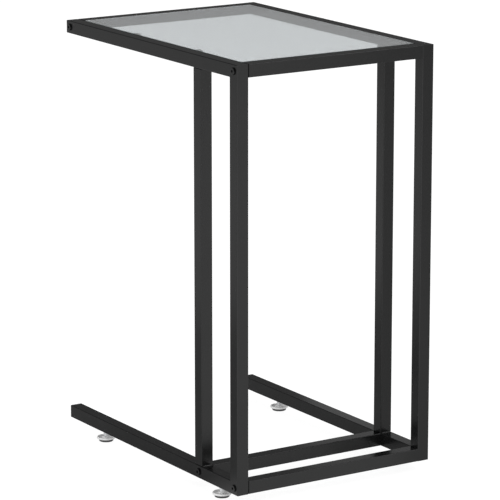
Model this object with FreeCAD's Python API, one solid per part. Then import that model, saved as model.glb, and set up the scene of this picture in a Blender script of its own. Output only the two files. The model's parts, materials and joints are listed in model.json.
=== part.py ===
import FreeCAD, Part
import math
import os

# C shaped side table: two welded side frames of square steel tube, four bolted cross tubes,
# a glass top let in between the top rails, and four screw-in levelling feet.
# Millimetres. X runs along the table, with the double-post spine at +X and the open side at -X.
# Y runs across it, from the front frame at -Y to the rear frame at +Y. Z is up.
# The origin is on the floor, under the middle of the base.

# Overall frame
TABLE_LENGTH = 503.5
TOP_SETBACK = 3.5
TABLE_WIDTH = 350.0
FRAME_HEIGHT = 650.0
POST_GAP = 80.0

# Square tube
TUBE = 20.0
TUBE_WALL = 1.2
TUBE_RADIUS = 1.0
BORE_RADIUS = 0.1
TUBE_END_EDGE = 0.9

# Glass top and what it lies on
GLASS_THICK = 5.0
GLASS_GAP = 0.6
GLASS_CORNER = 3.0
GLASS_ARRIS = 0.6
BUMPER_RADIUS = 5.0
BUMPER_THICK = 1.0
FREE_TAB_INSET = 170.0
SPINE_TAB_INSET = 150.0
TAB_WIDTH = 18.0
TAB_REACH = 12.0
TAB_THICK = 2.0
TAB_LEG = 10.0
TAB_BEND = 1.0
TAB_CORNER = 4.0

# Plastic plugs in the open tube ends
PLUG_HEAD = 1.5
PLUG_WALL = 1.5
PLUG_FIT = 0.1
PLUG_EDGE = 0.5
TOP_PLUG_SKIRT = 3.5
BASE_PLUG_SKIRT = 12.0

# Bolts that hold the cross tubes, and the threaded plates in the cross tubes' ends
BOLT_RADIUS = 3.0
BOLT_TIP = 0.6
BOLT_HEAD_RADIUS = 5.5
BOLT_HEAD_HEIGHT = 2.2
BOLT_HEAD_EDGE = 0.5
BOLT_SOCKET_FLATS = 4.0
BOLT_SOCKET_DEPTH = 2.0
BOLT_HOLE_CLEARANCE = 0.3
BOLT_THREAD_CLEARANCE = 0.05
BOLT_PAST_PLATE = 3.0
NUT_PLATE_THICK = 5.0
FRONT_SEAM = 1.0

# Levelling feet
FREE_FOOT_INSET = 97.0
SPINE_FOOT_INSET = 58.5
FOOT_GAP = 9.0
SOLE_RADIUS = 11.8
SOLE_HEIGHT = 4.0
SOLE_TAPER = 0.6
SOLE_EDGE = 0.5
FLANGE_RADIUS = 14.5
FLANGE_HEIGHT = 4.0
FLANGE_RIM = 3.2
FLANGE_EDGE = 1.0
DISH_DEPTH = 0.8
DISH_RADIUS = 11.5
HUB_FOOT_RADIUS = 7.0
HUB_RADIUS = 5.5
STUD_RADIUS = 4.0
STUD_LENGTH = 18.0
STUD_TIP = 0.8
STUD_NECK_RADIUS = 2.5
NECK_FIT = 0.02
SPIGOT_RADIUS = 4.0
SPIGOT_HEIGHT = 1.2
SPIGOT_CLEARANCE = 0.05
SPIGOT_ROOM = 0.3
WELD_NUT_FLATS = 13.0
WELD_NUT_HEIGHT = 7.0
THREAD_CLEARANCE = 0.05
FOOT_HOLE_CLEARANCE = 0.4

# Levels and lines that follow from the sizes above
FRAME_BOTTOM = SOLE_HEIGHT + FLANGE_HEIGHT + FOOT_GAP
FRAME_TOP = FRAME_BOTTOM + FRAME_HEIGHT
BASE_MID = FRAME_BOTTOM + TUBE / 2
TOP_MID = FRAME_TOP - TUBE / 2
SPINE_X = TABLE_LENGTH / 2 - TUBE / 2
BASE_END_X = -TABLE_LENGTH / 2
TOP_END_X = BASE_END_X + TOP_SETBACK
FREE_X = TOP_END_X + TUBE / 2
TOP_MIDDLE_X = (FREE_X + SPINE_X) / 2
INNER_X = SPINE_X - TUBE - POST_GAP
SIDE_Y = TABLE_WIDTH / 2 - TUBE / 2
INNER_FACE_Y = SIDE_Y - TUBE / 2
TUBE_BORE = TUBE - 2 * TUBE_WALL
FREE_FOOT_X = BASE_END_X + FREE_FOOT_INSET
SPINE_FOOT_X = TABLE_LENGTH / 2 - SPINE_FOOT_INSET
GLASS_BOTTOM = FRAME_TOP - GLASS_THICK
TAB_TOP = GLASS_BOTTOM - BUMPER_THICK
BOLT_LENGTH = TUBE + NUT_PLATE_THICK + BOLT_PAST_PLATE

SIDES = {"front": -1, "rear": 1}
TOP_BOLT_X = (FREE_X, SPINE_X)
BASE_BOLT_X = (INNER_X, SPINE_X)
FEET_X = {"free": FREE_FOOT_X, "spine": SPINE_FOOT_X}
TABS_X = (TOP_END_X + FREE_TAB_INSET, TABLE_LENGTH / 2 - SPINE_TAB_INSET)

X_AXIS = FreeCAD.Vector(1, 0, 0)
Y_AXIS = FreeCAD.Vector(0, 1, 0)
Z_AXIS = FreeCAD.Vector(0, 0, 1)
SIN_45 = math.sqrt(0.5)


def vec(x, y, z):
    return FreeCAD.Vector(x, y, z)


def rounded_square(side, radius):
    """A closed wire on the XY plane, centred on the origin."""
    half = side / 2
    flat = half - radius
    bulge = flat + radius * SIN_45
    edges = []
    for quarter in range(4):
        turn = FreeCAD.Rotation(Z_AXIS, 90 * quarter)
        run_start = turn.multVec(vec(half, -flat, 0))
        run_end = turn.multVec(vec(half, flat, 0))
        arc_middle = turn.multVec(vec(bulge, bulge, 0))
        arc_end = turn.multVec(vec(flat, half, 0))
        edges.append(Part.LineSegment(run_start, run_end).toShape())
        edges.append(Part.Arc(run_end, arc_middle, arc_end).toShape())
    return Part.Wire(edges)


def rounded_bar(side, radius, length):
    return Part.Face(rounded_square(side, radius)).extrude(Z_AXIS * length)


def point_along(shape, start, direction):
    """Stand a shape that was made along +Z at a point, along another direction."""
    placed = shape.copy()
    placed.Placement = FreeCAD.Placement(start, FreeCAD.Rotation(Z_AXIS, direction))
    return placed


def tube(start, end, eased=False):
    """A length of square tube with its centre line from one point to another, its end rims chamfered if eased."""
    run = end - start
    outside = rounded_bar(TUBE, TUBE_RADIUS, run.Length)
    if eased:
        rims = [e for e in outside.Edges if e.BoundBox.ZLength < TUBE_END_EDGE]
        outside = outside.makeChamfer(TUBE_END_EDGE, rims)
    inside = rounded_bar(TUBE_BORE, BORE_RADIUS, run.Length)
    return point_along(outside.cut(inside), start, run)


def mitre(shape, corner, waste):
    """Cut a shape off at a plane through the corner; waste points to the side removed."""
    reach = 4 * TUBE
    block = Part.makeBox(reach, reach, reach, vec(-reach / 2, -reach / 2, 0))
    return shape.cut(point_along(block, corner, waste))


def drill(shape, radius, start, direction, length):
    return shape.cut(Part.makeCylinder(radius, length, start, direction))


def hexagon(flats, height, bottom):
    """A hexagonal prism along +Z."""
    corner_radius = flats / math.sqrt(3)
    corners = [
        vec(corner_radius * math.cos(k * math.pi / 3), corner_radius * math.sin(k * math.pi / 3), bottom)
        for k in range(7)
    ]
    return Part.Face(Part.makePolygon(corners)).extrude(Z_AXIS * height)


def revolve(edges):
    """Turn a closed outline, drawn on the XZ plane beside the Z axis, into a round solid."""
    return Part.Face(Part.Wire(edges)).revolve(vec(0, 0, 0), Z_AXIS, 360)


def line(x0, z0, x1, z1):
    return Part.LineSegment(vec(x0, 0, z0), vec(x1, 0, z1)).toShape()


def quarter_arc(centre_x, centre_z, radius, first_angle):
    """A quarter circle on the XZ plane, anticlockwise from an angle in degrees."""
    angles = [math.radians(first_angle + turn) for turn in (0, 45, 90)]
    points = [vec(centre_x + radius * math.cos(a), 0, centre_z + radius * math.sin(a)) for a in angles]
    return Part.Arc(*points).toShape()


def outline(points):
    """Straight edges through the (radius, height) points, closed at the end."""
    return [line(*start, *end) for start, end in zip(points, points[1:] + points[:1])]


def drill_bolt_holes(shape, side, places_x, height):
    """Bolt holes through both walls of a side frame's tube."""
    start_y = side * (TABLE_WIDTH / 2 + TUBE)
    for x in places_x:
        start = vec(x, start_y, height)
        shape = drill(shape, BOLT_RADIUS + BOLT_HOLE_CLEARANCE, start, Y_AXIS * -side, 3 * TUBE)
    return shape


def top_rail(side):
    start = vec(TOP_END_X + PLUG_HEAD, side * SIDE_Y, TOP_MID)
    end = vec(TABLE_LENGTH / 2, side * SIDE_Y, TOP_MID)
    corner = vec(SPINE_X, side * SIDE_Y, TOP_MID)
    rail = mitre(tube(start, end), corner, X_AXIS - Z_AXIS)
    return drill_bolt_holes(rail, side, TOP_BOLT_X, TOP_MID)


def base_rail(side):
    start = vec(BASE_END_X + PLUG_HEAD, side * SIDE_Y, BASE_MID)
    end = vec(TABLE_LENGTH / 2, side * SIDE_Y, BASE_MID)
    corner = vec(SPINE_X, side * SIDE_Y, BASE_MID)
    rail = mitre(tube(start, end), corner, X_AXIS + Z_AXIS)
    rail = drill_bolt_holes(rail, side, BASE_BOLT_X, BASE_MID)
    for x in FEET_X.values():
        start = vec(x, side * SIDE_Y, FRAME_BOTTOM - TUBE_WALL)
        rail = drill(rail, STUD_RADIUS + FOOT_HOLE_CLEARANCE, start, Z_AXIS, TUBE / 2)
    return rail


def outer_post(side):
    bottom = vec(SPINE_X, side * SIDE_Y, FRAME_BOTTOM)
    top = vec(SPINE_X, side * SIDE_Y, FRAME_TOP)
    post = mitre(tube(bottom, top), vec(SPINE_X, side * SIDE_Y, TOP_MID), Z_AXIS - X_AXIS)
    post = mitre(post, vec(SPINE_X, side * SIDE_Y, BASE_MID), -X_AXIS - Z_AXIS)
    for height in (TOP_MID, BASE_MID):
        post = drill_bolt_holes(post, side, (SPINE_X,), height)
    return post


def inner_post(side):
    bottom = vec(INNER_X, side * SIDE_Y, FRAME_BOTTOM + TUBE)
    top = vec(INNER_X, side * SIDE_Y, FRAME_TOP - TUBE)
    return tube(bottom, top, eased=True)


def cross_tube(x, height):
    """A tube across the table, tight on the rear frame and a narrow seam short of the front one."""
    return tube(vec(x, FRONT_SEAM - INNER_FACE_Y, height), vec(x, INNER_FACE_Y, height))


def nut_plate(side, x, height):
    """The threaded plate set in one end of a cross tube, against the side frame's inner face."""
    plate = rounded_bar(TUBE_BORE, BORE_RADIUS, NUT_PLATE_THICK)
    plate = drill(plate, BOLT_RADIUS + BOLT_THREAD_CLEARANCE, vec(0, 0, 0), Z_AXIS, NUT_PLATE_THICK)
    return point_along(plate, vec(x, side * INNER_FACE_Y, height), Y_AXIS * -side)


def socket_bolt():
    """A bolt with a thin flat head, along +Z, its head's seat at the origin and its shank going up."""
    face_radius = BOLT_HEAD_RADIUS - BOLT_HEAD_EDGE
    side_end = BOLT_HEAD_EDGE - BOLT_HEAD_HEIGHT
    edges = [
        line(0, BOLT_LENGTH, BOLT_RADIUS - BOLT_TIP, BOLT_LENGTH),
        line(BOLT_RADIUS - BOLT_TIP, BOLT_LENGTH, BOLT_RADIUS, BOLT_LENGTH - BOLT_TIP),
        line(BOLT_RADIUS, BOLT_LENGTH - BOLT_TIP, BOLT_RADIUS, 0),
        line(BOLT_RADIUS, 0, BOLT_HEAD_RADIUS, 0),
        line(BOLT_HEAD_RADIUS, 0, BOLT_HEAD_RADIUS, side_end),
        quarter_arc(face_radius, side_end, BOLT_HEAD_EDGE, -90),
        line(face_radius, -BOLT_HEAD_HEIGHT, 0, -BOLT_HEAD_HEIGHT),
        line(0, -BOLT_HEAD_HEIGHT, 0, BOLT_LENGTH),
    ]
    return revolve(edges).cut(hexagon(BOLT_SOCKET_FLATS, BOLT_SOCKET_DEPTH, -BOLT_HEAD_HEIGHT))


def frame_bolt(side, x, height):
    return point_along(socket_bolt(), vec(x, side * TABLE_WIDTH / 2, height), Y_AXIS * -side)


def end_plug(side, height, end_x, skirt_length):
    """A plug whose head continues a rail's open end; its skirt is a short square sleeve."""
    head = rounded_bar(TUBE, TUBE_RADIUS, PLUG_HEAD)
    outer_rim = [e for e in head.Edges if e.BoundBox.ZMax < PLUG_HEAD / 2]
    head = head.makeChamfer(PLUG_EDGE, outer_rim)
    skirt_side = TUBE_BORE - 2 * PLUG_FIT
    skirt = rounded_bar(skirt_side, BORE_RADIUS, skirt_length)
    skirt = skirt.cut(rounded_bar(skirt_side - 2 * PLUG_WALL, BORE_RADIUS, skirt_length))
    skirt.translate(vec(0, 0, PLUG_HEAD))
    plug = head.fuse(skirt).removeSplitter()
    return point_along(plug, vec(end_x, side * SIDE_Y, height), X_AXIS)


def glass_top():
    length = SPINE_X - FREE_X - TUBE - 2 * GLASS_GAP
    width = TABLE_WIDTH - 2 * TUBE - 2 * GLASS_GAP
    sheet = Part.makeBox(length, width, GLASS_THICK, vec(TOP_MIDDLE_X - length / 2, -width / 2, GLASS_BOTTOM))
    uprights = [e for e in sheet.Edges if e.BoundBox.ZLength > GLASS_THICK / 2]
    sheet = sheet.makeFillet(GLASS_CORNER, uprights)
    rims = [e for e in sheet.Edges if e.BoundBox.ZLength < GLASS_ARRIS]
    return sheet.makeChamfer(GLASS_ARRIS, rims)


def glass_tab(side, x):
    """A bent steel tab: one leg welded to the rail's inner face, one reaching under the glass."""
    bend_out = TAB_BEND + TAB_THICK
    arc_out = bend_out * (1 - SIN_45)
    arc_in = TAB_THICK + TAB_BEND * (1 - SIN_45)
    edges = [
        line(0, -TAB_LEG, 0, -bend_out),
        Part.Arc(vec(0, 0, -bend_out), vec(arc_out, 0, -arc_out), vec(bend_out, 0, 0)).toShape(),
        line(bend_out, 0, TAB_REACH, 0),
        line(TAB_REACH, 0, TAB_REACH, -TAB_THICK),
        line(TAB_REACH, -TAB_THICK, bend_out, -TAB_THICK),
        Part.Arc(
            vec(bend_out, 0, -TAB_THICK), vec(arc_in, 0, -arc_in), vec(TAB_THICK, 0, -bend_out)
        ).toShape(),
        line(TAB_THICK, -bend_out, TAB_THICK, -TAB_LEG),
        line(TAB_THICK, -TAB_LEG, 0, -TAB_LEG),
    ]
    tab = Part.Face(Part.Wire(edges)).extrude(Y_AXIS * TAB_WIDTH)
    tips = [e for e in tab.Edges if e.BoundBox.XMin > TAB_REACH - TAB_THICK / 2 and e.BoundBox.ZLength > TAB_THICK / 2]
    tab = tab.makeFillet(TAB_CORNER, tips)
    tab.translate(vec(0, -TAB_WIDTH / 2, 0))
    tab.rotate(vec(0, 0, 0), Z_AXIS, -90 * side)
    tab.translate(vec(x, side * INNER_FACE_Y, TAB_TOP))
    return tab


def glass_bumper(side, x):
    """A clear disc between a tab and the glass, centred on the tab's free leg."""
    bend_out = TAB_BEND + TAB_THICK
    reach = (bend_out + TAB_REACH) / 2
    return Part.makeCylinder(BUMPER_RADIUS, BUMPER_THICK, vec(x, side * (INNER_FACE_Y - reach), TAB_TOP))


def weld_nut():
    """The nut on the floor of a base rail that a foot screws into."""
    bottom = FRAME_BOTTOM + TUBE_WALL
    nut = hexagon(WELD_NUT_FLATS, WELD_NUT_HEIGHT, bottom)
    return drill(nut, STUD_RADIUS + THREAD_CLEARANCE, vec(0, 0, bottom), Z_AXIS, WELD_NUT_HEIGHT)


def foot_sole():
    """The glide that stands on the floor; its spigot lets the flange turn on it."""
    return revolve(outline([
        (0, 0),
        (SOLE_RADIUS - SOLE_TAPER - SOLE_EDGE, 0),
        (SOLE_RADIUS - SOLE_TAPER, SOLE_EDGE),
        (SOLE_RADIUS, SOLE_HEIGHT),
        (SPIGOT_RADIUS, SOLE_HEIGHT),
        (SPIGOT_RADIUS, SOLE_HEIGHT + SPIGOT_HEIGHT),
        (0, SOLE_HEIGHT + SPIGOT_HEIGHT),
    ]))


def foot_flange():
    """The disc that is turned by hand: a rounded rim, a dished top and a hub under the stud."""
    bottom = SOLE_HEIGHT
    rim_top = bottom + FLANGE_RIM
    dish_floor = rim_top - DISH_DEPTH
    top = bottom + FLANGE_HEIGHT
    socket_top = bottom + SPIGOT_HEIGHT + SPIGOT_ROOM
    socket_radius = SPIGOT_RADIUS + SPIGOT_CLEARANCE
    neck_hole = STUD_NECK_RADIUS + NECK_FIT
    rim_in = FLANGE_RADIUS - FLANGE_EDGE
    return revolve([
        line(neck_hole, top, neck_hole, socket_top),
        line(neck_hole, socket_top, socket_radius, socket_top),
        line(socket_radius, socket_top, socket_radius, bottom),
        line(socket_radius, bottom, rim_in, bottom),
        quarter_arc(rim_in, bottom + FLANGE_EDGE, FLANGE_EDGE, -90),
        line(FLANGE_RADIUS, bottom + FLANGE_EDGE, FLANGE_RADIUS, rim_top - FLANGE_EDGE),
        quarter_arc(rim_in, rim_top - FLANGE_EDGE, FLANGE_EDGE, 0),
        line(rim_in, rim_top, DISH_RADIUS + DISH_DEPTH, rim_top),
        line(DISH_RADIUS + DISH_DEPTH, rim_top, DISH_RADIUS, dish_floor),
        line(DISH_RADIUS, dish_floor, HUB_FOOT_RADIUS, dish_floor),
        line(HUB_FOOT_RADIUS, dish_floor, HUB_RADIUS, top),
        line(HUB_RADIUS, top, neck_hole, top),
    ])


def foot_stud():
    """The threaded stud, its neck pressed into the flange."""
    seat = SOLE_HEIGHT + FLANGE_HEIGHT
    neck_end = SOLE_HEIGHT + SPIGOT_HEIGHT + SPIGOT_ROOM
    tip = seat + STUD_LENGTH
    return revolve(outline([
        (0, neck_end),
        (STUD_NECK_RADIUS, neck_end),
        (STUD_NECK_RADIUS, seat),
        (STUD_RADIUS, seat),
        (STUD_RADIUS, tip - STUD_TIP),
        (STUD_RADIUS - STUD_TIP, tip),
        (0, tip),
    ]))


def side_frame_nodes():
    nodes = {}
    for name, side in SIDES.items():
        nodes[name + "_top_rail"] = top_rail(side)
        nodes[name + "_base_rail"] = base_rail(side)
        nodes[name + "_outer_post"] = outer_post(side)
        nodes[name + "_inner_post"] = inner_post(side)
    return nodes


def cross_tube_nodes():
    return {
        "free_end_top_crossrail": cross_tube(FREE_X, TOP_MID),
        "spine_end_top_crossrail": cross_tube(SPINE_X, TOP_MID),
        "inner_base_crossbar": cross_tube(INNER_X, BASE_MID),
        "outer_base_crossbar": cross_tube(SPINE_X, BASE_MID),
    }


def glass_nodes():
    places = [(side, x) for side in SIDES.values() for x in TABS_X]
    return {
        "glass_top": glass_top(),
        "glass_tabs": Part.makeCompound([glass_tab(side, x) for side, x in places]),
        "glass_bumpers": Part.makeCompound([glass_bumper(side, x) for side, x in places]),
    }


def hardware_nodes():
    """Bolts, threaded plates and plugs, in one group for the top and one for the base."""
    nodes = {}
    levels = {
        "top": (TOP_MID, TOP_BOLT_X, TOP_END_X, TOP_PLUG_SKIRT),
        "base": (BASE_MID, BASE_BOLT_X, BASE_END_X, BASE_PLUG_SKIRT),
    }
    for level, (height, bolts_x, end_x, skirt) in levels.items():
        places = [(side, x, height) for side in SIDES.values() for x in bolts_x]
        nodes[level + "_frame_bolts"] = Part.makeCompound([frame_bolt(*place) for place in places])
        nodes[level + "_nut_plates"] = Part.makeCompound([nut_plate(*place) for place in places])
        plugs = [end_plug(side, height, end_x, skirt) for side in SIDES.values()]
        nodes[level + "_rail_end_plugs"] = Part.makeCompound(plugs)
    return nodes


def foot_nodes():
    """Four feet, each of a sole, a flange and a stud, and the nuts they screw into."""
    nodes = {}
    nuts = []
    makers = {"sole": foot_sole, "flange": foot_flange, "stud": foot_stud}
    for side_name, side in SIDES.items():
        for end_name, x in FEET_X.items():
            place = vec(x, side * SIDE_Y, 0)
            nuts.append(weld_nut().translated(place))
            for piece, make in makers.items():
                nodes[f"{side_name}_{end_name}_foot_{piece}"] = make().translated(place)
    nodes["foot_weld_nuts"] = Part.makeCompound(nuts)
    return nodes


os.makedirs("parts", exist_ok=True)
for make_nodes in (side_frame_nodes, cross_tube_nodes, glass_nodes, hardware_nodes, foot_nodes):
    for node, shape in make_nodes().items():
        shape.exportStep(f"parts/{node}.step")
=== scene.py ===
import json
import math

import bmesh
import bpy
from mathutils import Matrix, Vector


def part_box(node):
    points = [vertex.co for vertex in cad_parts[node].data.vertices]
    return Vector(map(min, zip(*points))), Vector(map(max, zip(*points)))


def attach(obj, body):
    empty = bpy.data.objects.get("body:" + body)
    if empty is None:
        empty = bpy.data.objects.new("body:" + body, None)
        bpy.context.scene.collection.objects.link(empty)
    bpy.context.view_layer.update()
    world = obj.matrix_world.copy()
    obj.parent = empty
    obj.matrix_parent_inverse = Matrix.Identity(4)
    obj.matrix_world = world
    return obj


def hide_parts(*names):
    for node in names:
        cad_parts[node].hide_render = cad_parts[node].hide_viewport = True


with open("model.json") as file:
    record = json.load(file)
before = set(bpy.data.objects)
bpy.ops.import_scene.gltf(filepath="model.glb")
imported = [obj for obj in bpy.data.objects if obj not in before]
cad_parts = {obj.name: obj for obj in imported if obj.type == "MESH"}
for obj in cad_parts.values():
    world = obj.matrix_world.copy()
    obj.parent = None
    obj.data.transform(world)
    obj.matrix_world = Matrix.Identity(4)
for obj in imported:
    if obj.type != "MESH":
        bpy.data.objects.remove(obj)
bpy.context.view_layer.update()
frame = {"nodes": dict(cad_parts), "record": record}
NODES = frame["nodes"]
RECORD = frame["record"]
MM = 0.001

# Camera, solved from the straight edges of the tubes in the photograph
VIEW_AZIMUTH = math.radians(57.374)
VIEW_ELEVATION = math.radians(13.156)
VIEW_DISTANCE = 4.8578
VIEW_TARGET = Vector((0.01235, 0.00082, 0.32454))
VIEW_LENS = 224.41
VIEW_CLIP = 60.0
SENSOR_WIDTH = 36.0

# Surroundings: how bright they look to the eye and in reflections, and how much light they give
FLOOR_HALF = 14.0
FLOOR_PALE = 0.25
FLOOR_GLOW = 0.87
FLOOR_LIGHT = 0.38
BACKDROP_SEEN = 1.0
BACKDROP_IN_GLOSS = 0.115
BACKDROP_IN_GLASS = 0.395
BACKDROP_LIGHT = 0.80

# Painted reflection: these floor levels are a glow seen only in gloss, which paints darker and
# lighter zones into the paint's reflections.
# The floor in gloss, as (place, level) stops: in front along X, near and far, and beside the spine
# across a slanting line. The start stops blend each one into the next.
FLOOR_FRONT = ((-3.20, 0.15), (-2.20, 0.25), (-0.80, 0.22), (-0.60, 0.0), (0.10, 0.05))
FLOOR_FRONT_FAR = ((-2.50, 0.24), (-2.00, 0.43), (-0.82, 0.40), (-0.60, 0.07), (0.10, 0.11))
FLOOR_FRONT_FAR_START = ((-0.12, 0.0), (0.0, 1.0))
FLOOR_SIDE = (
    (-0.90, 1.00), (-0.30, 0.60), (-0.14, 0.66), (-0.05, 0.59),
    (-0.01, 0.35), (0.07, 0.31), (0.16, 0.12),
)
FLOOR_SIDE_START = ((0.10, 0.0), (0.24, 1.0))
FLOOR_ACROSS = (-0.56, 0.83, 0.0)

# Lights: a broad soft panel beyond the spine, a low fill in front that reaches the feet and isn't
# mirrored, and a faint panel low behind the base. Sizes in metres, power in watts.
LIGHTS = {
    "main_light": {
        "place": (2.05, 1.6, 2.4), "aim": (0.2, 0.0, 0.5),
        "size": (2.0, 2.0), "power": 30.0, "mirrored": True,
    },
    "fill_light": {
        "place": (1.1, -2.7, 0.75), "aim": (0.0, 0.0, 0.1),
        "size": (1.5, 1.5), "power": 25.0, "mirrored": False,
    },
    "low_light": {
        "place": (-0.59, 0.75, 0.23), "aim": (0.252, 0.211, 0.23),
        "size": (0.40, 0.30), "power": 0.085, "mirrored": True,
    },
}

# Noise lies mostly between these values
NOISE_LOW = 0.3
NOISE_HIGH = 0.7

# Glass: its clear faces, and its ground edges, where the normal is less upright than the tilt
GLASS_FACE = (0.85, 0.90, 0.92)
GLASS_EDGE = (0.30, 0.42, 0.40)
GLASS_EDGE_TILT = 0.95
GLASS_EDGE_ROUGH = 0.32

# Thread of the levelling feet. The tooth's points are shares of the pitch and of the depth.
THREAD_PITCH = 1.25 * MM
THREAD_DEPTH = 0.68 * MM
THREAD_TOOTH = ((0.0, 0.0), (0.10, 0.0), (0.44, 1.0), (0.56, 1.0), (0.90, 0.0), (1.0, 0.0))
THREAD_STEPS = 32
THREAD_CREASE = math.radians(35)

# Parts of the glass's support
TAB_WIDTH = 18.0 * MM
BUMPER_RADIUS = 5.0 * MM
BUMPER_CLEARANCE = 0.02 * MM
BUMPER_SIDES = 48
BUMPER_RIM_SHARE = 0.45
BUMPER_RIM_STEPS = 4
BUMPER_CREASE = math.radians(40)

# Weld beads in the corners of the side frames and under the glass tabs. The end, crest and dip are
# shares of the radius, and the insets are shares of the corner's length.
WELD_RADIUS = 1.5 * MM
WELD_STEP = 0.8 * MM
WELD_SIDES = 12
WELD_END = 0.55
WELD_CREST = 0.09
WELD_DIP = -0.05
WELD_CREASE = math.radians(50)
FRAME_WELD_INSET = 0.06
TAB_WELD_INSET = 0.10

# Points nearer than this are one point, or one level at the ends of a thread
SAME_POINT = 1e-7
SAME_LEVEL = 1e-6


# Camera

def add_object(name, data):
    added = bpy.data.objects.new(name, data)
    bpy.context.scene.collection.objects.link(added)
    return added


def point_at(thing, place, target):
    """Put a camera or a lamp in its place and turn it to a target."""
    thing.location = place
    thing.rotation_euler = (Vector(target) - Vector(place)).to_track_quat("-Z", "Y").to_euler()


def make_camera():
    data = bpy.data.cameras.new("camera")
    data.lens = VIEW_LENS
    data.sensor_width = SENSOR_WIDTH
    data.clip_end = VIEW_CLIP
    flat = VIEW_DISTANCE * math.cos(VIEW_ELEVATION)
    offset = Vector((
        flat * math.sin(VIEW_AZIMUTH),
        -flat * math.cos(VIEW_AZIMUTH),
        VIEW_DISTANCE * math.sin(VIEW_ELEVATION),
    ))
    camera = add_object("camera", data)
    point_at(camera, VIEW_TARGET + offset, VIEW_TARGET)
    bpy.context.scene.camera = camera


# Materials

class Finish:
    """One procedural material: a Principled shader, with helpers for the nodes that drive it."""

    def __init__(self, name):
        self.material = bpy.data.materials.new(name)
        self.material.use_nodes = True
        self.tree = self.material.node_tree
        self.shader = self.tree.nodes["Principled BSDF"]
        self.coordinates = self.node("ShaderNodeTexCoord").outputs["Object"]

    def node(self, kind, **settings):
        made = self.tree.nodes.new(kind)
        for name, value in settings.items():
            setattr(made, name, value)
        return made

    def link(self, source, target):
        self.tree.links.new(source, target)

    def set(self, **values):
        """Set sockets of the shader to values that are the same all over."""
        for name, value in values.items():
            self.shader.inputs[name.replace("_", " ")].default_value = value

    def drive(self, **sources):
        """Link patterns to sockets of the shader."""
        for name, source in sources.items():
            self.link(source, self.shader.inputs[name.replace("_", " ")])

    def noise(self, size, detail=2.0, stretch=None):
        """Noise whose lumps are about `size` metres across."""
        texture = self.node("ShaderNodeTexNoise")
        texture.inputs["Scale"].default_value = 1.0 / size
        texture.inputs["Detail"].default_value = detail
        source = self.coordinates
        if stretch:
            mapping = self.node("ShaderNodeMapping")
            mapping.inputs["Scale"].default_value = stretch
            self.link(source, mapping.inputs["Vector"])
            source = mapping.outputs["Vector"]
        self.link(source, texture.inputs["Vector"])
        return texture.outputs["Fac"]

    def ramp(self, source, low=0.0, high=1.0):
        """Spread a noise over a span of values."""
        spread = self.node("ShaderNodeMapRange")
        spread.inputs["From Min"].default_value = NOISE_LOW
        spread.inputs["From Max"].default_value = NOISE_HIGH
        spread.inputs["To Min"].default_value = low
        spread.inputs["To Max"].default_value = high
        self.link(source, spread.inputs["Value"])
        return spread.outputs["Result"]

    def colours(self, source, first, second):
        """Blend two colours by a pattern, into the base colour."""
        mix = self.node("ShaderNodeMix", data_type="RGBA")
        mix.inputs["A"].default_value = (*first, 1.0)
        mix.inputs["B"].default_value = (*second, 1.0)
        self.link(source, mix.inputs["Factor"])
        self.link(mix.outputs["Result"], self.shader.inputs["Base Color"])

    def bumps(self, source, height, under=None):
        """Bumps of a height in metres, on top of other bumps where these are given."""
        bump = self.node("ShaderNodeBump")
        bump.inputs["Distance"].default_value = height
        bump.inputs["Strength"].default_value = 1.0
        self.link(source, bump.inputs["Height"])
        if under:
            self.link(under, bump.inputs["Normal"])
        return bump.outputs["Normal"]


def gloss_paint(name, light, dark, rough):
    """Black paint with a soft gloss: a faint orange peel with a fine grain in it."""
    finish = Finish(name)
    cloud = finish.noise(size=45.0 * MM, detail=3.0)
    peel = finish.noise(size=1.6 * MM)
    grain = finish.noise(size=0.35 * MM, detail=1.0)
    finish.colours(finish.ramp(cloud), dark, light)
    finish.drive(Roughness=finish.ramp(peel, low=rough - 0.03, high=rough + 0.03))
    skin = finish.bumps(peel, height=0.02 * MM)
    finish.drive(Normal=finish.bumps(grain, height=0.006 * MM, under=skin))
    return finish.material


def clear_glass():
    """Clear glass with a faint grey cast and roller waves, and green, frosted edges."""
    finish = Finish("top_glass")
    normal = finish.node("ShaderNodeNewGeometry").outputs["True Normal"]
    split = finish.node("ShaderNodeSeparateXYZ")
    finish.link(normal, split.inputs["Vector"])
    tilt = finish.node("ShaderNodeMath", operation="ABSOLUTE")
    finish.link(split.outputs["Z"], tilt.inputs[0])
    edge = finish.node("ShaderNodeMath", operation="LESS_THAN")
    edge.inputs[1].default_value = GLASS_EDGE_TILT
    finish.link(tilt.outputs["Value"], edge.inputs[0])
    finish.colours(edge.outputs["Value"], GLASS_FACE, GLASS_EDGE)
    rough = finish.node("ShaderNodeMath", operation="MULTIPLY")
    rough.inputs[1].default_value = GLASS_EDGE_ROUGH
    finish.link(edge.outputs["Value"], rough.inputs[0])
    waves = finish.noise(size=50.0 * MM, detail=1.0, stretch=(1.0, 0.15, 1.0))
    finish.drive(Roughness=rough.outputs["Value"], Normal=finish.bumps(waves, height=0.002 * MM))
    finish.set(Transmission_Weight=0.94, IOR=1.5)
    return finish.material


def clear_silicone():
    """Soft clear silicone, slightly cloudy."""
    finish = Finish("clear_silicone")
    cloud = finish.noise(size=2.5 * MM)
    finish.colours(finish.ramp(cloud), (0.60, 0.63, 0.63), (0.70, 0.72, 0.72))
    finish.drive(Roughness=finish.ramp(cloud, low=0.12, high=0.22))
    finish.set(Transmission_Weight=1.0, IOR=1.41)
    return finish.material


def plated(name, light, dark, rough, metallic):
    """Plated steel with fine turning marks and a slightly uneven tone."""
    finish = Finish(name)
    tone = finish.noise(size=6.0 * MM, detail=3.0)
    marks = finish.noise(size=0.9 * MM, stretch=(0.25, 0.25, 4.0))
    finish.colours(finish.ramp(tone), dark, light)
    finish.drive(Roughness=finish.ramp(marks, low=rough - 0.05, high=rough + 0.06))
    finish.drive(Normal=finish.bumps(marks, height=0.012 * MM))
    finish.set(Metallic=metallic)
    return finish.material


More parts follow.
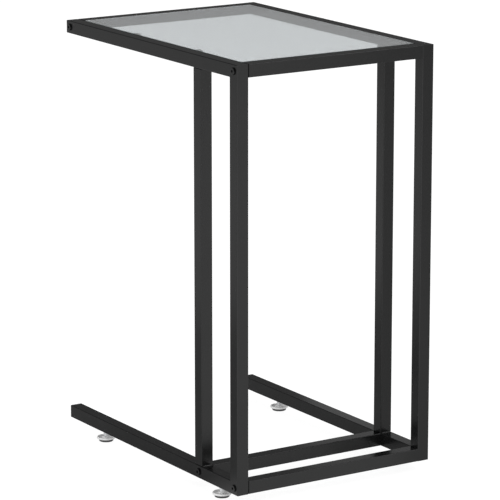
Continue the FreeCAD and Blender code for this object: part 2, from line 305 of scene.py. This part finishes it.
def moulded(name, light, dark, rough, grain_size, grain_height):
    """Plastic or rubber with a moulded grain."""
    finish = Finish(name)
    tone = finish.noise(size=8.0 * MM)
    grain = finish.noise(size=grain_size)
    finish.colours(finish.ramp(tone), dark, light)
    finish.drive(Roughness=finish.ramp(grain, low=rough - 0.07, high=rough + 0.07))
    finish.drive(Normal=finish.bumps(grain, height=grain_height))
    return finish.material


def make_finishes():
    """The finish of each material slot of the record."""
    return {
        "frame_black": gloss_paint(
            "frame_black", light=(0.0058, 0.0060, 0.0060), dark=(0.0042, 0.0044, 0.0044),
            rough=0.23),
        "top_glass": clear_glass(),
        "clear_silicone": clear_silicone(),
        "bolt_black": gloss_paint(
            "bolt_black", light=(0.0070, 0.0070, 0.0072), dark=(0.0045, 0.0045, 0.0046),
            rough=0.22),
        "zinc_steel": plated(
            "zinc_steel", light=(0.90, 0.91, 0.92), dark=(0.84, 0.85, 0.86),
            rough=0.36, metallic=0.15),
        "foot_grey": moulded(
            "foot_grey", light=(0.84, 0.84, 0.84), dark=(0.78, 0.78, 0.78),
            rough=0.36, grain_size=0.6 * MM, grain_height=0.01 * MM),
        "plug_black": moulded(
            "plug_black", light=(0.020, 0.020, 0.021), dark=(0.014, 0.014, 0.015),
            rough=0.52, grain_size=0.5 * MM, grain_height=0.02 * MM),
        "sole_black": moulded(
            "sole_black", light=(0.085, 0.085, 0.085), dark=(0.065, 0.065, 0.065),
            rough=0.72, grain_size=0.8 * MM, grain_height=0.04 * MM),
    }


def dress_cad_nodes(finishes):
    """Give each carried-over CAD node the finish of its record slot."""
    for row in RECORD["subparts"]:
        mesh = NODES[row["node"]].data
        mesh.materials.clear()
        mesh.materials.append(finishes[row["material_slot"]])


# New pieces

def finish_piece(mesh, name, body, slot, finishes, crease):
    """Turn a bmesh into a piece at the origin that rides on a CAD body."""
    bmesh.ops.remove_doubles(mesh, verts=mesh.verts, dist=SAME_POINT)
    bmesh.ops.recalc_face_normals(mesh, faces=mesh.faces)
    data = bpy.data.meshes.new(name)
    mesh.to_mesh(data)
    mesh.free()
    data.shade_smooth()
    data.set_sharp_from_angle(angle=crease)
    piece = add_object(name, data)
    data.materials.append(finishes[slot])
    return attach(piece, body)


def helix_thread(mesh, centre, radius, bottom, top):
    """A threaded rod: one tooth swept round and up, then cut square at both ends."""
    turns = math.ceil((top - bottom) / THREAD_PITCH) + 2
    start = bottom - THREAD_PITCH
    root = radius - THREAD_DEPTH
    verts = [
        mesh.verts.new((
            centre.x + root + out * THREAD_DEPTH, centre.y, start + up * THREAD_PITCH))
        for up, out in THREAD_TOOTH
    ]
    edges = [mesh.edges.new(pair) for pair in zip(verts, verts[1:])]
    bmesh.ops.spin(
        mesh, geom=verts + edges, cent=centre, axis=(0, 0, 1),
        dvec=(0, 0, THREAD_PITCH / THREAD_STEPS), angle=2 * math.pi * turns,
        steps=THREAD_STEPS * turns, use_merge=False, use_duplicate=False)
    bmesh.ops.remove_doubles(mesh, verts=mesh.verts, dist=SAME_LEVEL)
    for height, normal in ((bottom, (0, 0, -1)), (top, (0, 0, 1))):
        bmesh.ops.bisect_plane(
            mesh, geom=mesh.verts[:] + mesh.edges[:] + mesh.faces[:], dist=SAME_POINT,
            plane_co=(0, 0, height), plane_no=normal, clear_outer=True)
        rim = [
            edge for edge in mesh.edges
            if edge.is_boundary and all(abs(v.co.z - height) < SAME_LEVEL for v in edge.verts)
        ]
        bmesh.ops.contextual_create(mesh, geom=rim)


def foot_studs(finishes):
    """Threaded studs that stand for the plain CAD studs."""
    for node in [n for n in NODES if n.endswith("_foot_stud")]:
        low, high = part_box(node)
        _, flange_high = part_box(node.replace("_stud", "_flange"))
        centre = (low + high) / 2
        radius = (high.x - low.x) / 2
        name = node.replace("_stud", "_thread")
        body = node.replace("_foot_stud", "_screw")
        mesh = bmesh.new()
        helix_thread(mesh, Vector((centre.x, centre.y, 0)), radius, flange_high.z, high.z)
        piece = finish_piece(mesh, name, body, "zinc_steel", finishes, THREAD_CREASE)
        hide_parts(node)


def weld_bead(mesh, start, along, length):
    """A rippled round bead laid along a corner, with its ends drawn in."""
    steps = round(length / WELD_STEP)
    turn = Vector((0, 0, 1)).rotation_difference(along).to_matrix().to_4x4()
    first = bmesh.ops.create_circle(
        mesh, segments=WELD_SIDES, radius=WELD_RADIUS, matrix=Matrix.Translation(start) @ turn)
    ring = list({edge for vert in first["verts"] for edge in vert.link_edges})
    loops = [first["verts"]]
    for _ in range(steps):
        grown = bmesh.ops.extrude_edge_only(mesh, edges=ring)["geom"]
        verts = [item for item in grown if isinstance(item, bmesh.types.BMVert)]
        ring = [item for item in grown if isinstance(item, bmesh.types.BMEdge)]
        bmesh.ops.translate(mesh, verts=verts, vec=along * (length / steps))
        loops.append(verts)
    for step, verts in enumerate(loops):
        at = start + along * (length * step / steps)
        size = WELD_END if step in (0, steps) else 1.0
        size += WELD_CREST if step % 2 else WELD_DIP
        bmesh.ops.scale(
            mesh, verts=verts, vec=(size, size, size), space=Matrix.Translation(-at))
    for verts in (loops[0], loops[-1]):
        bmesh.ops.contextual_create(mesh, geom=verts)


def frame_welds(finishes):
    """Beads where the posts meet the rails, on the sides that aren't ground flush."""
    for side in ("front", "rear"):
        mesh = bmesh.new()
        low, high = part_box(side + "_inner_post")
        outer_low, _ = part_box(side + "_outer_post")
        span = high.y - low.y
        inset = span * FRAME_WELD_INSET
        for x in (low.x, high.x, outer_low.x):
            for z in (low.z, high.z):
                start = Vector((x, low.y + inset, z))
                weld_bead(mesh, start, Vector((0, 1, 0)), span - 2 * inset)
        finish_piece(
            mesh, side + "_frame_welds", "table", "frame_black", finishes, WELD_CREASE)


def tab_welds(finishes):
    """A bead under the leg of each glass tab."""
    low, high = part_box("glass_tabs")
    inset = TAB_WIDTH * TAB_WELD_INSET
    mesh = bmesh.new()
    for y in (low.y, high.y):
        for x in (low.x, high.x - TAB_WIDTH):
            start = Vector((x + inset, y, low.z))
            weld_bead(mesh, start, Vector((1, 0, 0)), TAB_WIDTH - 2 * inset)
    finish_piece(mesh, "glass_tab_welds", "table", "frame_black", finishes, WELD_CREASE)


def glass_bumpers(finishes):
    """Clear bumpers between the tabs and the glass: discs with a soft bulged rim."""
    low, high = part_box("glass_bumpers")
    thick = high.z - low.z - BUMPER_CLEARANCE
    radius = BUMPER_RADIUS
    mesh = bmesh.new()
    for y in (low.y + radius, high.y - radius):
        for x in (low.x + radius, high.x - radius):
            made = bmesh.ops.create_cone(
                mesh, cap_ends=True, segments=BUMPER_SIDES, radius1=radius, radius2=radius,
                depth=thick, matrix=Matrix.Translation((x, y, low.z + thick / 2)))
            rims = [
                edge for edge in {e for v in made["verts"] for e in v.link_edges}
                if abs(edge.verts[0].co.z - edge.verts[1].co.z) < thick / 2
            ]
            bmesh.ops.bevel(
                mesh, geom=rims, offset=thick * BUMPER_RIM_SHARE, offset_type="OFFSET",
                segments=BUMPER_RIM_STEPS, profile=0.5, affect="EDGES", material=-1)
    piece = finish_piece(
        mesh, "clear_bumpers", "table", "clear_silicone", finishes, BUMPER_CREASE)
    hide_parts("glass_bumpers")


# Stage and light

def blend_levels(tree, share, first, second):
    """Mix two levels, each a number or the output of a node, by a share."""
    mix = tree.nodes.new("ShaderNodeMix")
    tree.links.new(share, mix.inputs["Factor"])
    for name, level in (("A", first), ("B", second)):
        if isinstance(level, bpy.types.NodeSocket):
            tree.links.new(level, mix.inputs[name])
        else:
            mix.inputs[name].default_value = level
    return mix.outputs["Result"]


def seen_level(tree, direct, mirrored, otherwise):
    """How bright a surrounding looks to the eye and through glass, in gloss, and as plain light."""
    path = tree.nodes.new("ShaderNodeLightPath").outputs
    through = blend_levels(tree, path["Glossy Depth"], direct, mirrored)
    level = blend_levels(tree, path["Is Glossy Ray"], otherwise, mirrored)
    level = blend_levels(tree, path["Is Transmission Ray"], level, through)
    return blend_levels(tree, path["Is Camera Ray"], level, direct)


def level_along(tree, source, stops):
    """A level that follows a coordinate through (place, level) stops."""
    first, last = stops[0][0], stops[-1][0]
    span = tree.nodes.new("ShaderNodeMapRange")
    span.inputs["From Min"].default_value = first
    span.inputs["From Max"].default_value = last
    tree.links.new(source, span.inputs["Value"])
    ramp = tree.nodes.new("ShaderNodeValToRGB")
    elements = ramp.color_ramp.elements
    for place, _ in stops[1:-1]:
        elements.new((place - first) / (last - first))
    for element, (_, level) in zip(elements, stops):
        element.color = (level, level, level, 1.0)
    tree.links.new(span.outputs["Result"], ramp.inputs["Fac"])
    return ramp.outputs["Color"]


def painted_floor_reflection(tree):
    """Painted reflection of the floor in the paint: a glow seen only in gloss, dim in front,
    lighter on the far side, bright by the spine.
    """
    place = tree.nodes.new("ShaderNodeTexCoord").outputs["Object"]
    split = tree.nodes.new("ShaderNodeSeparateXYZ")
    tree.links.new(place, split.inputs["Vector"])
    product = tree.nodes.new("ShaderNodeVectorMath")
    product.operation = "DOT_PRODUCT"
    product.inputs[1].default_value = FLOOR_ACROSS
    tree.links.new(place, product.inputs[0])
    along, across = split.outputs["X"], product.outputs["Value"]
    near = level_along(tree, along, FLOOR_FRONT)
    far = level_along(tree, along, FLOOR_FRONT_FAR)
    front = blend_levels(tree, level_along(tree, across, FLOOR_FRONT_FAR_START), near, far)
    side = level_along(tree, across, FLOOR_SIDE)
    return blend_levels(tree, level_along(tree, along, FLOOR_SIDE_START), front, side)


def floor_white():
    """A pale floor that looks white and still takes the table's shadow."""
    material = bpy.data.materials.new("floor_white")
    material.use_nodes = True
    tree = material.node_tree
    shader = tree.nodes["Principled BSDF"]
    shader.inputs["Base Color"].default_value = (FLOOR_PALE, FLOOR_PALE, FLOOR_PALE, 1.0)
    shader.inputs["Roughness"].default_value = 1.0
    shader.inputs["Specular IOR Level"].default_value = 0.0
    shader.inputs["Emission Color"].default_value = (1.0, 1.0, 1.0, 1.0)
    # Painted reflection: in gloss the floor glows at levels set by place, not evenly.
    glow = seen_level(tree, FLOOR_GLOW, painted_floor_reflection(tree), FLOOR_LIGHT)
    tree.links.new(glow, shader.inputs["Emission Strength"])
    return material


def make_floor():
    mesh = bmesh.new()
    bmesh.ops.create_grid(mesh, x_segments=1, y_segments=1, size=FLOOR_HALF)
    data = bpy.data.meshes.new("floor")
    mesh.to_mesh(data)
    mesh.free()
    data.materials.append(floor_white())
    floor = add_object("floor", data)


def make_world():
    """A white backdrop, dimmer in gloss, and with a level of its own in polished glass."""
    world = bpy.data.worlds.new("studio")
    world.use_nodes = True
    tree = world.node_tree
    background = tree.nodes["Background"]
    background.inputs["Color"].default_value = (1.0, 1.0, 1.0, 1.0)
    polished = tree.nodes.new("ShaderNodeLightPath").outputs["Is Singular Ray"]
    mirrored = blend_levels(tree, polished, BACKDROP_IN_GLOSS, BACKDROP_IN_GLASS)
    level = seen_level(tree, BACKDROP_SEEN, mirrored, BACKDROP_LIGHT)
    tree.links.new(level, background.inputs["Strength"])
    bpy.context.scene.world = world


def make_lights():
    for name, light in LIGHTS.items():
        data = bpy.data.lights.new(name, "AREA")
        data.shape = "RECTANGLE"
        data.size, data.size_y = light["size"]
        data.energy = light["power"]
        lamp = add_object(name, data)
        point_at(lamp, light["place"], light["aim"])
        lamp.visible_glossy = light["mirrored"]
        lamp.visible_transmission = light["mirrored"]


finishes = make_finishes()
dress_cad_nodes(finishes)
foot_studs(finishes)
frame_welds(finishes)
tab_welds(finishes)
glass_bumpers(finishes)
make_floor()
make_world()
make_lights()
make_camera()
bpy.context.scene.view_settings.view_transform = "Standard"
